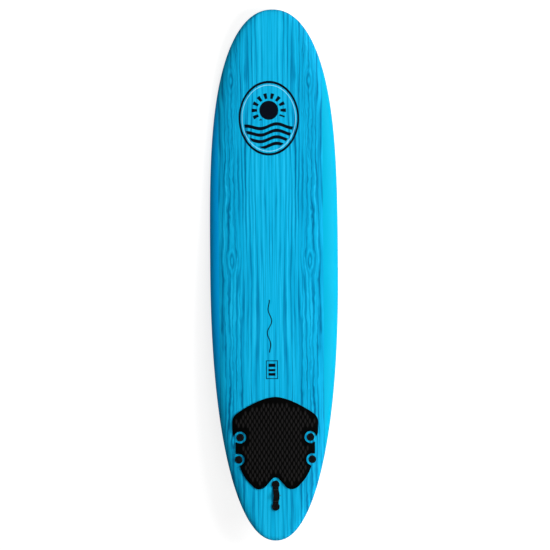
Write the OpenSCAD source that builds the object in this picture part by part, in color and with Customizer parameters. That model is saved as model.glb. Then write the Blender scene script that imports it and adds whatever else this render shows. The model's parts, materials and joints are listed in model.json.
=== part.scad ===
// Soft-top longboard: foam core with two wooden stringers, foam deck skin, slick bottom,
// three bolt-through fins, a traction pad and a leash strap.
//
// Everything is drawn in the board frame: Y runs from the tail (0) to the nose, X to the
// right rail, Z up from the flat part of the belly. at_rest() then lays the board deck up
// on level ground, where it stands on the tips of its side fins and on its belly.

/* [Board] */
// Length from the tail to the nose
board_length = 2286; // [2100:1:2450]
// Greatest width
board_width = 552; // [520:1:600]
// Greatest thickness
board_thickness = 76; // [70:1:84]
// Thickness just inside the nose and tail tips
end_thickness = 30; // [26:1:36]
// Distance of the widest point from the tail
wide_point = 1195; // [1150:1:1250]
// Rise of the bottom at the nose
nose_rocker = 110; // [90:1:140]
// Rise of the bottom at the tail
tail_rocker = 45; // [35:1:60]

/* [Skins and stringers] */
// Thickness of the foam deck skin
deck_skin_thickness = 5; // [4:0.5:6]
// Thickness of the slick bottom sheet
bottom_skin_thickness = 3; // [2:0.5:3]
// Distance of each stringer from the centre line
stringer_offset = 85; // [60:1:110]
// Thickness of a stringer
stringer_thickness = 3; // [2:0.5:5]

/* [Fins] */
// Distance between the two posts of a fin
post_spacing = 96; // [92:1:100]
// Middle of the centre fin, from the tail
center_fin_y = 195; // [190:1:200]
// Middle of the side fins, from the tail
side_fin_y = 398; // [392:1:404]
// Middle of the side fins, from the centre line
side_fin_x = 155; // [150:1:158]
// Angle by which the side fins point in towards the nose
side_fin_toe = 4.3; // [2:0.1:6]
// Angle by which the side fins lean outwards
side_fin_cant = 5; // [0:0.5:8]
// Depth of a fin below its base
fin_depth = 112; // [90:1:120]
// Length of a fin along its base
fin_base = 124; // [118:1:130]
// Distance that the tip of a fin lies behind the middle of its base
fin_rake = 62; // [40:1:75]
// Greatest thickness of a fin
fin_thickness = 8; // [6:0.5:9]

/* [Fin bolts] */
// Diameter of a cup washer
washer_diameter = 33; // [30:0.5:33]
// Diameter of a screw head
head_diameter = 22; // [18:0.5:22]
// Diameter of a screw shank
shank_diameter = 8; // [6:0.5:8]
// Diameter of a fin post
post_diameter = 14; // [13:0.5:14]
// Outer diameter of a through sleeve
sleeve_diameter = 18; // [18:0.5:19]
// Length of screw that is engaged in its post
thread_engagement = 15; // [12:1:16]

/* [Traction pad] */
// Thickness of the pad
pad_thickness = 5; // [3:0.5:7]
// Front point of the pad, from the tail
pad_front = 620; // [605:1:635]
// Shoulders of the pad, where it is widest, from the tail
pad_shoulder = 509; // [500:1:516]
// Half of the pad's greatest width
pad_half_width = 186; // [182:1:190]
// Rear ends of the two lobes, from the tail
pad_rear = 222; // [216:1:228]
// Radius of the notches around the side screws
notch_radius = 26; // [22:1:28]

/* [Leash strap] */
// Width of the webbing
strap_width = 25; // [20:1:30]
// Thickness of the webbing
strap_thickness = 2; // [1.5:0.5:3]
// Height of the strap's slack above its ends
strap_arch = 13; // [8:1:16]

/* [Hidden] */

// Fullness of the outline: the first exponent sets the length of the straight run,
// the second the roundness of the tip.
tail_fullness = 2.296;
tail_roundness = 0.466;
nose_fullness = 3.28;
nose_roundness = 0.4615;
// The belly is flat between these two places; the bottom rises beyond them.
flat_back = 900;
flat_front = 1300;
nose_curve = 2.6;
tail_curve = 2.4;
thickness_curve = 2.4;
// The rail's widest line lies at this share of the thickness.
apex_share = 0.42;
// Exponent of the deck's cross-section: flat in the middle, round at the rails.
deck_fullness = 7;
// Share of the half width over which the bottom is flat.
flat_share = 0.8;
// Length over which the section closes at each tip.
tip_round = 25;

// Number of stations along the board, and of steps around one section.
stations = 42;
deck_steps = 24;
tuck_steps = 6;
ring = deck_steps + 2 * tuck_steps + 1;
// The skins meet along these steps, and at this many stations from each tip.
seam_first = deck_steps + 4;
seam_last = ring - 4;
seam_station = 3;

// Clearances: between bonded layers, and between pieces that come apart.
bond_gap = 0.3;
free_gap = 0.3;

// Half width of the outline at a distance y from the tail.
function half_width(y) =
    y < wide_point
    ? board_width / 2 * pow(max(0, 1 - pow((wide_point - y) / wide_point, tail_fullness)), tail_roundness)
    : board_width / 2
        * pow(max(0, 1 - pow((y - wide_point) / (board_length - wide_point), nose_fullness)), nose_roundness);

// Height of the bottom along the centre line.
function bottom_height(y) =
    y > flat_front ? nose_rocker * pow((y - flat_front) / (board_length - flat_front), nose_curve)
    : y < flat_back ? tail_rocker * pow((flat_back - y) / flat_back, tail_curve)
    : 0;

// Slope of the bottom along the tail, in degrees.
function tail_slope(y) =
    -atan(tail_rocker * tail_curve * pow((flat_back - y) / flat_back, tail_curve - 1) / flat_back);

function thickness(y) =
    end_thickness
    + (board_thickness - end_thickness) * (1 - pow(abs(2 * y / board_length - 1), thickness_curve));

function apex_height(y) = bottom_height(y) + apex_share * thickness(y);

// Height of the deck above the point p = [x, y].
function deck_height(p) =
    apex_height(p.y)
    + (1 - apex_share) * thickness(p.y)
        * sqrt(1 - pow(min(1, abs(p.x) / half_width(p.y)), deck_fullness));

// How far the section has opened at a distance y from the tail: 0 at the tips, 1 inside.
function opening(y) =
    let (s = min(y, board_length - y) / tip_round)
    s < 1 ? sqrt(max(0, 1 - pow(1 - s, 2))) : 1;

function station_y(i) = board_length / 2 * (1 - cos(180 * i / stations));

// Point j of the section at station i, on a surface that lies inside the board's own by
// depth = [rails and tips, deck, bottom]. Steps run from the left rail over the deck to
// the right rail, and back along the bottom.
function hull_point(i, j, depth) =
    let (
        y0 = station_y(i),
        y = board_length / 2 + (y0 - board_length / 2) * (1 - 2 * depth[0] / board_length),
        w = half_width(y0) * (1 - 2 * depth[0] / board_width),
        above = ((1 - apex_share) * thickness(y) - depth[1]) * opening(y0),
        below = (apex_share * thickness(y) - depth[2]) * opening(y0),
        deck_angle = 180 * j / deck_steps,
        side = cos(deck_angle) > 0 ? -1 : 1,
        right = j <= deck_steps + tuck_steps,
        tuck_angle = 90 / tuck_steps * (right ? j - deck_steps : ring - j)
    )
    j <= deck_steps
    ? [
        side * w * pow(abs(cos(deck_angle)), 2 / deck_fullness),
        y,
        apex_height(y) + above * sin(deck_angle)
    ]
    : [
        (right ? 1 : -1) * w * (flat_share + (1 - flat_share) * cos(tuck_angle)),
        y,
        apex_height(y) - below * sin(tuck_angle)
    ];

// All points of one closed surface: the tail tip, the sections, the nose tip.
function hull_points(depth) = concat(
    [hull_point(0, 0, depth)],
    [for (i = [1 : stations - 1], j = [0 : ring - 1]) hull_point(i, j, depth)],
    [hull_point(stations, 0, depth)]
);
points_per_hull = (stations - 1) * ring + 2;
function hull_index(i, j) =
    i == 0 ? 0 : i == stations ? points_per_hull - 1 : 1 + (i - 1) * ring + j % ring;

// Two triangles for a patch between stations i and i + 1, steps j and j + 1.
function patch(i, j) =
    i == 0 ? [[hull_index(0, 0), hull_index(1, j), hull_index(1, j + 1)]]
    : i == stations - 1
    ? [[hull_index(i, j + 1), hull_index(i, j), hull_index(stations, 0)]]
    : [
        [hull_index(i, j), hull_index(i + 1, j), hull_index(i + 1, j + 1)],
        [hull_index(i, j), hull_index(i + 1, j + 1), hull_index(i, j + 1)]
    ];

// The opening in the deck skin that the bottom sheet fills.
function in_seam(i, j) =
    i >= seam_station && i < stations - seam_station && j >= seam_first && j < seam_last;
function moved(faces, by) = [for (f = faces) [for (k = f) k + by]];
function turned(faces) = [for (f = faces) [f[2], f[1], f[0]]];
function strip(a, b, c, d) = [[a, b, c], [a, c, d]];

surface_depth = [0, 0, 0];
skin_depth = [deck_skin_thickness, deck_skin_thickness, bottom_skin_thickness];
core_depth = [for (d = skin_depth) d + bond_gap];

// Fins as [x, y, toe, cant]; a post is named by its fin and its end, 1 front or -1 rear.
LEFT = [-side_fin_x, side_fin_y, -side_fin_toe, -side_fin_cant];
RIGHT = [side_fin_x, side_fin_y, side_fin_toe, side_fin_cant];
CENTER = [0, center_fin_y, 0, 0];
FRONT = 1;
REAR = -1;
POSTS = [for (fin = [LEFT, CENTER, RIGHT], end = [FRONT, REAR]) [fin, end]];
function post_at(fin, end) =
    [fin.x - end * post_spacing / 2 * sin(fin[2]), fin.y + end * post_spacing / 2 * cos(fin[2])];

// Heights of one bolt's pieces, from the deck under its washer.
spot_face_radius = washer_diameter / 2 + 0.8;
function footprint(p) =
    [for (a = [0 : 30 : 330]) deck_height(p + spot_face_radius * [cos(a), sin(a)])];
function spot_face_z(p) = min(footprint(p)) - free_gap;
function strap_z(p) = max(footprint(p)) + free_gap;
function washer_z(p) =
    p.x == 0 ? strap_z(p) + strap_thickness + free_gap : spot_face_z(p) + free_gap;

// Depths below the bottom plane of the washer.
post_drop = 20;
post_bore_slack = 1.5;
washer_floor = 1.8;
washer_height = 4.4;
head_height = 2.4;
head_gap = 0.2;
shank_gap = 0.3;
bore_gap = 0.1;
collar_radius = 13;
collar_height = 2;
sleeve_bore_gap = 0.25;
sleeve_inset = 1;

// Fin blade: levels from the base to the tip, and steps from one edge to the other.
blade_levels = 14;
blade_steps = 8;
blade_edge = 1.2;
base_flange_width = 28;
base_flange_thickness = 3;
base_flange_margin = 2;
// Exponents of the rake and of the blade's length, and the share of its thickness that is
// lost towards the tip.
rake_curve = 1.3;
chord_curve = 1.9;
chord_roundness = 0.55;
tip_thinning = 0.65;
// The last level lies just short of the tip.
last_level = 0.997;
function blade_middle(h) = -fin_rake * pow(h, rake_curve);
function blade_chord(h) = fin_base * pow(1 - pow(h, chord_curve), chord_roundness);
function blade_thickness(h) = blade_edge + (fin_thickness - blade_edge) * (1 - tip_thinning * h);

// Point of a blade in the fin's own frame: h down the fin, s from the leading edge (0) to
// the trailing edge (1), on the side given by its sign.
function blade_point(h, s, side) = [
    side * (blade_edge + (blade_thickness(h) - blade_edge) * 4 * s * (1 - s)) / 2,
    blade_middle(h) + blade_chord(h) * (0.5 - s),
    -fin_depth * h
];
function blade_section(h) = concat(
    [for (k = [0 : blade_steps]) blade_point(h, k / blade_steps, 1)],
    [for (k = [0 : blade_steps]) blade_point(h, 1 - k / blade_steps, -1)]
);
blade_ring = 2 * blade_steps + 2;
function blade_level(k) = sin(90 * k / blade_levels) * last_level;

// From a fin's own frame to the board frame: lean, follow the bottom, toe in, then place.
function fin_base_z(fin) = bottom_height(fin.y) - free_gap;
function placed(fin, p) =
    let (
        a = [p.x * cos(-fin[3]) + p.z * sin(-fin[3]), p.y, -p.x * sin(-fin[3]) + p.z * cos(-fin[3])],
        slope = tail_slope(fin.y),
        b = [a.x, a.y * cos(slope) - a.z * sin(slope), a.y * sin(slope) + a.z * cos(slope)]
    )
    [
        fin.x + b.x * cos(fin[2]) - b.y * sin(fin[2]),
        fin.y + b.x * sin(fin[2]) + b.y * cos(fin[2]),
        fin_base_z(fin) + b.z
    ];
// The blade starts inside the flange.
blade_root = -1.5;
function blade_points(fin) = concat(
    [for (p = blade_section(0)) placed(fin, [p.x, p.y, blade_root])],
    [for (k = [1 : blade_levels], p = blade_section(blade_level(k))) placed(fin, p)]
);

// Pitch at rest: the lowest line that touches the side fins and the belly.
rest_slope = max([
    for (p = blade_points(RIGHT))
    min([
        for (i = [1 : stations - 1])
        let (y = station_y(i))
        if (y > flat_back) (bottom_height(y) - p.z) / (y - p.y)
    ])
]);
rest_pitch = atan(rest_slope);
function rest_y(p) = p.y * cos(rest_pitch) + p.z * sin(rest_pitch);
function rest_z(p) = p.z * cos(rest_pitch) - p.y * sin(rest_pitch);
board_points = hull_points(surface_depth);
rest_middle = (min([for (p = board_points) rest_y(p)]) + max([for (p = board_points) rest_y(p)])) / 2;
rest_floor = min([for (p = blade_points(RIGHT)) rest_z(p)]);

// Pad outline: front curve, shoulder, sides, waist between the notches, lobe, crotch.
pad_curve = 1.625;
shoulder_radius = 49;
shoulder_angle = 55;
shoulder_middle = [pad_half_width - shoulder_radius, pad_shoulder];
side_end = [pad_half_width - 2, 463];
pad_waist = 171;
waist_front = 433;
waist_rear = 368;
lip = [152, 314];
lobe_bulge = 5.6;
lobe_radius = 38;
lobe_middle = [70, pad_rear + lobe_radius];
lobe_start = -35;
lobe_end = -131;
crotch_radius = 17;
crotch_start = 40;
crotch_y = 257;
arc_step = 12;
pad_lift = 0.4;
pad_rows = 14;
pad_columns = 20;
pad_margin = 12;
// The sheet stops following the deck's roll-off at this share of the half width.
pad_roll_off = 0.96;

// Leash strap: how far its ends reach past the screws, the radius that rounds them, and
// its distance from the washers where the slack starts.
strap_tab = 14.5;
strap_end_radius = 15.5;
strap_clearance = 1;
strap_steps = 20;

// Screw and washer details.
washer_rim = 1.6;
cup_clearance = 0.6;
cup_chamfer = 1;
head_chamfer = 0.6;
slot_width = 2.2;
slot_depth = 1.4;
slot_margin = 3;

// Heights that a cutter starts from and reaches, below and above the whole board.
cut_from = -50;
cut_height = 300;

foam_blue = [0.08, 0.68, 0.87];
near_black = [0.06, 0.06, 0.06];

module at_rest() {
    translate([0, -rest_middle, -rest_floor])
        rotate([-rest_pitch, 0, 0])
            children();
}

module at_post(fin, end, z) {
    p = post_at(fin, end);
    translate([p.x, p.y, z])
        children();
}

// Straight holes that the sleeves pass through.
module sleeve_holes() {
    for (post = POSTS)
        at_post(post[0], post[1], cut_from)
            cylinder(d = sleeve_diameter + 2 * bond_gap, h = cut_height, $fn = 48);
}

// Spot faces for the washers.
module washer_seats() {
    for (post = POSTS) {
        at_post(post[0], post[1], spot_face_z(post_at(post[0], post[1])))
            cylinder(r = spot_face_radius, h = cut_height, $fn = 64);
    }
}

// Recesses for the sleeves' collars, through the deck skin and into the top of the core.
module collar_recesses() {
    for (post = POSTS) {
        z = spot_face_z(post_at(post[0], post[1])) - free_gap - collar_height - bond_gap;
        at_post(post[0], post[1], z)
            cylinder(r = collar_radius + bond_gap, h = cut_height, $fn = 64);
    }
}

// Solid of the whole foam core, before it is slit for the stringers.
module core_blank() {
    polyhedron(
        points = hull_points(core_depth),
        faces = [for (i = [0 : stations - 1], j = [0 : ring - 1]) each patch(i, j)]
    );
}

// Part of the core between two distances from the centre line.
module core_strip(x_from, x_to) {
    intersection() {
        core_blank();
        translate([x_from, 0, cut_from])
            cube([x_to - x_from, board_length, cut_height]);
    }
}

module core_left() {
    color("white")
        at_rest()
            difference() {
                core_strip(-board_width, -stringer_offset - stringer_thickness / 2 - bond_gap);
                sleeve_holes();
                collar_recesses();
            }
}

module core_center() {
    half = stringer_offset - stringer_thickness / 2 - bond_gap;
    color("white")
        at_rest()
            difference() {
                core_strip(-half, half);
                sleeve_holes();
                collar_recesses();
            }
}

module core_right() {
    color("white")
        at_rest()
            difference() {
                core_strip(stringer_offset + stringer_thickness / 2 + bond_gap, board_width);
                sleeve_holes();
                collar_recesses();
            }
}

module stringer(x) {
    color("burlywood")
        at_rest()
            core_strip(x - stringer_thickness / 2, x + stringer_thickness / 2);
}

// Foam skin over the deck, the rails and both tips, open below for the bottom sheet.
module deck_skin() {
    n = points_per_hull;
    last = stations - seam_station;
    outer = [
        for (i = [0 : stations - 1], j = [0 : ring - 1]) if (!in_seam(i, j)) each patch(i, j)
    ];
    long_walls = [
        for (i = [seam_station : last - 1])
        each concat(
            strip(hull_index(i, seam_first), hull_index(i + 1, seam_first),
                n + hull_index(i + 1, seam_first), n + hull_index(i, seam_first)),
            strip(hull_index(i + 1, seam_last), hull_index(i, seam_last),
                n + hull_index(i, seam_last), n + hull_index(i + 1, seam_last))
        )
    ];
    end_walls = [
        for (j = [seam_first : seam_last - 1])
        each concat(
            strip(hull_index(seam_station, j + 1), hull_index(seam_station, j),
                n + hull_index(seam_station, j), n + hull_index(seam_station, j + 1)),
            strip(hull_index(last, j), hull_index(last, j + 1),
                n + hull_index(last, j + 1), n + hull_index(last, j))
        )
    ];
    color(foam_blue)
        at_rest()
            difference() {
                polyhedron(
                    points = concat(board_points, hull_points(skin_depth)),
                    faces = concat(outer, moved(turned(outer), n), long_walls, end_walls)
                );
                sleeve_holes();
                washer_seats();
                collar_recesses();
            }
}

// Point of the bottom sheet, kept clear of the deck skin's edge all round.
function sheet_point(i, j, depth) =
    let (
        p = hull_point(i, j, depth),
        inset = i == seam_station ? bond_gap : i == stations - seam_station ? -bond_gap : 0
    )
    [p.x * (1 - bond_gap / half_width(p.y)), p.y + inset, p.z];

module bottom_skin() {
    last = stations - seam_station;
    columns = seam_last - seam_first + 1;
    rows = last - seam_station + 1;
    points = [
        for (depth = [surface_depth, skin_depth], i = [seam_station : last], j = [seam_first : seam_last])
        sheet_point(i, j, depth)
    ];
    n = rows * columns;
    outer = [
        for (i = [0 : rows - 2], j = [0 : columns - 2])
        let (a = i * columns + j)
        each strip(a, a + columns, a + columns + 1, a + 1)
    ];
    long_walls = [
        for (i = [0 : rows - 2])
        let (a = i * columns, b = a + columns - 1)
        each concat(strip(a + columns, a, n + a, n + a + columns), strip(b, b + columns, n + b + columns, n + b))
    ];
    end_walls = [
        for (j = [0 : columns - 2])
        let (a = j, b = (rows - 1) * columns + j)
        each concat(strip(a, a + 1, n + a + 1, n + a), strip(b + 1, b, n + b, n + b + 1))
    ];
    color("whitesmoke")
        at_rest()
            difference() {
                polyhedron(
                    points = points,
                    faces = concat(outer, moved(turned(outer), n), long_walls, end_walls)
                );
                sleeve_holes();
            }
}

// Points of an arc, and of a line from a to b that bulges to its left.
function arc(middle, radius, from, step, to) =
    [for (a = [from : step : to]) middle + radius * [cos(a), sin(a)]];
function bulged(a, b, bulge) =
    let (out = [a.y - b.y, b.x - a.x] / norm(b - a))
    [for (t = [0 : 0.25 : 0.75]) a * (1 - t) + b * t + out * bulge * 4 * t * (1 - t)];

// Right half of the pad's outline, from the front point round to the crotch.
lobe = arc(lobe_middle, lobe_radius, lobe_start, -arc_step, lobe_end);
shoulder = arc(shoulder_middle, shoulder_radius, shoulder_angle, -shoulder_angle / 5, 0);
pad_half = concat(
    [
        for (k = [0 : 7])
        let (u = k / 8)
        [shoulder[0].x * u, pad_front - (pad_front - shoulder[0].y) * pow(u, pad_curve)]
    ],
    shoulder,
    [side_end, [pad_waist, waist_front], [pad_waist, waist_rear]],
    bulged(lip, lobe[0], lobe_bulge),
    lobe,
    arc([0, crotch_y], crotch_radius, crotch_start, arc_step, 90)
);
pad_outline = concat(
    pad_half,
    [for (k = [len(pad_half) - 1 : -1 : 1]) [-pad_half[k].x, pad_half[k].y]]
);

// Sheet that follows the deck, a little above it, larger than the pad.
module pad_blank() {
    x_half = pad_half_width + pad_margin;
    y_from = pad_rear - pad_margin;
    y_to = pad_front + pad_margin;
    function spot(i, j, lift) =
        let (
            y = y_from + (y_to - y_from) * i / pad_rows,
            x = x_half * (2 * j / pad_columns - 1),
            edge = pad_roll_off * half_width(y)
        )
        [x, y, deck_height([max(-edge, min(edge, x)), y]) + lift];
    columns = pad_columns + 1;
    n = (pad_rows + 1) * columns;
    points = [
        for (lift = [pad_lift, pad_lift + pad_thickness], i = [0 : pad_rows], j = [0 : pad_columns])
        spot(i, j, lift)
    ];
    under = [
        for (i = [0 : pad_rows - 1], j = [0 : pad_columns - 1])
        let (a = i * columns + j)
        each strip(a + 1, a + columns + 1, a + columns, a)
    ];
    sides = [
        for (i = [0 : pad_rows - 1])
        let (a = i * columns, b = a + pad_columns)
        each concat(strip(a, a + columns, n + a + columns, n + a), strip(b + columns, b, n + b, n + b + columns))
    ];
    ends = [
        for (j = [0 : pad_columns - 1])
        let (a = j, b = pad_rows * columns + j)
        each concat(strip(a + 1, a, n + a, n + a + 1), strip(b, b + 1, n + b + 1, n + b))
    ];
    polyhedron(points = points, faces = concat(under, moved(turned(under), n), sides, ends));
}

module traction_pad() {
    color(near_black)
        at_rest()
            intersection() {
                pad_blank();
                linear_extrude(height = cut_height)
                    difference() {
                        polygon(pad_outline);
                        for (fin = [LEFT, RIGHT], end = [FRONT, REAR])
                            translate(post_at(fin, end))
                                circle(r = notch_radius, $fn = 64);
                    }
            }
}

// Webbing from one centre screw to the other, with its slack standing up between them.
module leash_strap() {
    rear = post_at(CENTER, REAR);
    front = post_at(CENTER, FRONT);
    clear = washer_diameter / 2 + strap_clearance;
    arch = [
        for (k = [0 : strap_steps])
        let (u = k / strap_steps)
        [
            rear.y + clear + (post_spacing - 2 * clear) * u,
            strap_z(rear) * (1 - u) + strap_z(front) * u + strap_arch * (1 - cos(360 * u)) / 2
        ]
    ];
    underside = concat(
        [[rear.y - strap_tab, strap_z(rear)]],
        arch,
        [[front.y + strap_tab, strap_z(front)]]
    );
    top = [for (k = [len(underside) - 1 : -1 : 0]) underside[k] + [0, strap_thickness]];
    color(near_black)
        at_rest()
            difference() {
                intersection() {
                    translate([-strap_width / 2, 0, 0])
                        rotate([90, 0, 90])
                            linear_extrude(height = strap_width)
                                polygon(concat(underside, top));
                    hull()
                        for (end = [FRONT, REAR])
                            at_post(CENTER, end, cut_from)
                                cylinder(r = strap_end_radius, h = cut_height, $fn = 64);
                }
                for (end = [FRONT, REAR])
                    at_post(CENTER, end, cut_from)
                        cylinder(d = shank_diameter + 2 * shank_gap, h = cut_height, $fn = 32);
            }
}

// Through sleeve with a collar under the deck, open from end to end.
module sleeve(fin, end) {
    p = post_at(fin, end);
    top = spot_face_z(p) - free_gap;
    bottom = bottom_height(p.y) + sleeve_inset;
    color("gainsboro")
        at_rest()
            at_post(fin, end, bottom)
                difference() {
                    union() {
                        cylinder(d = sleeve_diameter, h = top - bottom, $fn = 48);
                        translate([0, 0, top - bottom - collar_height])
                            cylinder(r = collar_radius, h = collar_height, $fn = 64);
                    }
                    translate([0, 0, cut_from])
                        cylinder(d = post_diameter + 2 * sleeve_bore_gap, h = cut_height, $fn = 48);
                }
}

// Blade with its base flange and two threaded posts, moulded in one.
module fin(fin) {
    flat_length = fin_base + 2 * base_flange_margin - base_flange_width;
    rings = [
        for (k = [0 : blade_levels - 1], j = [0 : blade_ring - 1])
        let (a = k * blade_ring + j, b = k * blade_ring + (j + 1) % blade_ring)
        each strip(a, a + blade_ring, b + blade_ring, b)
    ];
    root = [for (j = [1 : blade_ring - 2]) [0, j, j + 1]];
    tip = [for (f = root) [for (k = [2 : -1 : 0]) f[k] + blade_levels * blade_ring]];
    color(near_black)
        at_rest() {
            difference() {
                union() {
                    polyhedron(points = blade_points(fin), faces = concat(root, rings, tip));
                    translate([fin.x, fin.y, fin_base_z(fin)])
                        rotate([0, 0, fin[2]])
                            rotate([tail_slope(fin.y), 0, 0])
                                translate([0, 0, -base_flange_thickness])
                                    base_flange(flat_length);
                    for (end = [FRONT, REAR])
                        fin_post(fin, end);
                }
                for (end = [FRONT, REAR])
                    at_post(fin, end, post_top(fin, end) - thread_engagement - post_bore_slack)
                        cylinder(d = shank_diameter + 2 * bore_gap, h = cut_height, $fn = 48);
            }
        }
}

function post_top(fin, end) = washer_z(post_at(fin, end)) - post_drop;

module fin_post(fin, end) {
    start = bottom_height(post_at(fin, end).y) - free_gap - base_flange_thickness / 2;
    at_post(fin, end, start)
        cylinder(d = post_diameter, h = post_top(fin, end) - start, $fn = 48);
}

module base_flange(flat_length) {
    translate([-base_flange_width / 2, -flat_length / 2, 0])
        cube([base_flange_width, flat_length, base_flange_thickness]);
    for (end = [FRONT, REAR])
        translate([0, end * flat_length / 2, 0])
            cylinder(d = base_flange_width, h = base_flange_thickness, $fn = 64);
}

// Dished washer with a rolled rim, which the screw's head sits in.
module washer(fin, end) {
    radius = washer_diameter / 2;
    cup = head_diameter / 2 + cup_clearance;
    bore = shank_diameter / 2 + shank_gap;
    color(near_black)
        at_rest()
            at_post(fin, end, washer_z(post_at(fin, end)))
                rotate_extrude($fn = 96)
                    polygon(concat(
                        [[bore, 0], [radius, 0]],
                        arc([radius - washer_rim, washer_height - washer_rim], washer_rim, 0, 15, 90),
                        [
                            [cup + cup_chamfer, washer_height],
                            [cup, washer_height - cup_chamfer],
                            [cup, washer_floor],
                            [bore, washer_floor]
                        ]
                    ));
}

// Fin screw: low head with a coin slot and a plain shank of the thread's outer diameter.
module screw(fin, end) {
    shank = post_drop + thread_engagement + washer_floor + head_gap;
    color(near_black)
        at_rest()
            at_post(fin, end, washer_z(post_at(fin, end)) + washer_floor + head_gap)
                difference() {
                    union() {
                        translate([0, 0, -shank])
                            cylinder(d = shank_diameter, h = shank + 1, $fn = 48);
                        cylinder(d = head_diameter, h = head_height - head_chamfer, $fn = 64);
                        translate([0, 0, head_height - head_chamfer])
                            cylinder(
                                d1 = head_diameter,
                                d2 = head_diameter - 2 * head_chamfer,
                                h = head_chamfer,
                                $fn = 64
                            );
                    }
                    translate([slot_margin - head_diameter / 2, -slot_width / 2, head_height - slot_depth])
                        cube([head_diameter - 2 * slot_margin, slot_width, slot_depth + 1]);
                }
}

core_left();
core_center();
core_right();
stringer(-stringer_offset);  // stringer_left
stringer(stringer_offset);  // stringer_right
deck_skin();
bottom_skin();
traction_pad();
leash_strap();
sleeve(LEFT, FRONT);  // sleeve_left_front
sleeve(LEFT, REAR);  // sleeve_left_rear
sleeve(CENTER, FRONT);  // sleeve_center_front
sleeve(CENTER, REAR);  // sleeve_center_rear
sleeve(RIGHT, FRONT);  // sleeve_right_front
sleeve(RIGHT, REAR);  // sleeve_right_rear
fin(LEFT);  // fin_left
fin(CENTER);  // fin_center
fin(RIGHT);  // fin_right
washer(LEFT, FRONT);  // washer_left_front
washer(LEFT, REAR);  // washer_left_rear
washer(CENTER, FRONT);  // washer_center_front
washer(CENTER, REAR);  // washer_center_rear
washer(RIGHT, FRONT);  // washer_right_front
washer(RIGHT, REAR);  // washer_right_rear
screw(LEFT, FRONT);  // screw_left_front
screw(LEFT, REAR);  // screw_left_rear
screw(CENTER, FRONT);  // screw_center_front
screw(CENTER, REAR);  // screw_center_rear
screw(RIGHT, FRONT);  // screw_right_front
screw(RIGHT, REAR);  // screw_right_rear
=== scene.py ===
import json
import math

import bmesh
import bpy
import numpy as np
from mathutils import Matrix, Vector
from mathutils.geometry import delaunay_2d_cdt


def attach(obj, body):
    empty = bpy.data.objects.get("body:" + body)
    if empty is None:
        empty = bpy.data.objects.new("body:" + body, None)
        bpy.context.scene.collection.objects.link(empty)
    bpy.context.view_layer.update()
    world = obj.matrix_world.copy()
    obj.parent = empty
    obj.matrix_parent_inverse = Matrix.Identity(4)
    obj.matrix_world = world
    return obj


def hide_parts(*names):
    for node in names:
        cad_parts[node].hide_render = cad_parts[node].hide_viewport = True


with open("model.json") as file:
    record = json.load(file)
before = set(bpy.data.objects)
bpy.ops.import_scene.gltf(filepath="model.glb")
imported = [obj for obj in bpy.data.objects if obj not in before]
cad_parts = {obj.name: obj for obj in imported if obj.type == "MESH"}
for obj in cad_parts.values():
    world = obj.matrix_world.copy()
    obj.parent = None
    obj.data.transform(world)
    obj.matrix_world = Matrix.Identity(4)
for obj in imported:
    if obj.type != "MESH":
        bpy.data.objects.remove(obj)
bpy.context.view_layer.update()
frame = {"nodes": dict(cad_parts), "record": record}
record = frame["record"]
scene = bpy.context.scene

# ---- board frame
# Points are given in millimetres as (x to the right rail, y from the tail, z up from the
# flat of the belly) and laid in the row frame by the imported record.
joint_named = {j["name"]: j for j in record["behaviour"]["joints"]}
mount_named = {m["name"]: m for m in record["mounts"]}
UP = Vector(joint_named["center_front_lift"]["axis"])
FORWARD = Vector((0, UP.z, -UP.y))
RIGHT = Vector((1, 0, 0))
BELLY_Y = 1100
ORIGIN = Vector(mount_named["belly_flat"]["pos_m"]) - FORWARD * BELLY_Y / 1000
AXES = np.array([RIGHT, FORWARD, UP])


def to_row(points):
    """Board frame in millimetres to row frame in metres."""
    return np.array(ORIGIN) + np.asarray(points, float) / 1000 @ AXES


# ---- board surfaces
LENGTH = 2286
WIDTH = 552
WIDE_POINT = 1195
THICKNESS = 76
END_THICKNESS = 30
THICKNESS_CURVE = 2.4
NOSE_ROCKER = 110
NOSE_CURVE = 2.6
TAIL_ROCKER = 45
TAIL_CURVE = 2.4
# The belly is flat between these two places.
FLAT_BACK = 900
FLAT_FRONT = 1300
# Exponents of the outline: length of the straight run, roundness of the tip.
TAIL_OUTLINE = (2.296, 0.466)
NOSE_OUTLINE = (3.28, 0.4615)
# Exponent of the deck's cross-section, and length over which the tips close.
DECK_FULLNESS = 7
TIP_ROUND = 25
# Height of the rail's widest line and width of the flat bottom, as shares.
APEX_SHARE = 0.42
FLAT_SHARE = 0.8
# Depths of the skins' inner surfaces at the rails and tips, the deck and the bottom.
OUTER_DEPTH = (0, 0, 0)
SKIN_DEPTH = (5, 5, 3)
BOND_GAP = 0.3
FREE_GAP = 0.3

STATIONS = 210
DECK_STEPS = 96
TUCK_STEPS = 24
RING = DECK_STEPS + 2 * TUCK_STEPS + 1
# The skins meet along these steps, and at this many stations from each tip.
SEAM_STATION = 15
SEAM_FIRST = DECK_STEPS + 16
SEAM_LAST = RING - 16


def half_width(y):
    tail = np.clip((WIDE_POINT - y) / WIDE_POINT, 0, 1)
    nose = np.clip((y - WIDE_POINT) / (LENGTH - WIDE_POINT), 0, 1)
    run, tip = TAIL_OUTLINE
    tail_share = (1 - tail**run) ** tip
    run, tip = NOSE_OUTLINE
    nose_share = (1 - nose**run) ** tip
    return WIDTH / 2 * np.where(y < WIDE_POINT, tail_share, nose_share)


def bottom_height(y):
    nose = np.clip((y - FLAT_FRONT) / (LENGTH - FLAT_FRONT), 0, 1)
    tail = np.clip((FLAT_BACK - y) / FLAT_BACK, 0, 1)
    return NOSE_ROCKER * nose**NOSE_CURVE + TAIL_ROCKER * tail**TAIL_CURVE


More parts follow.
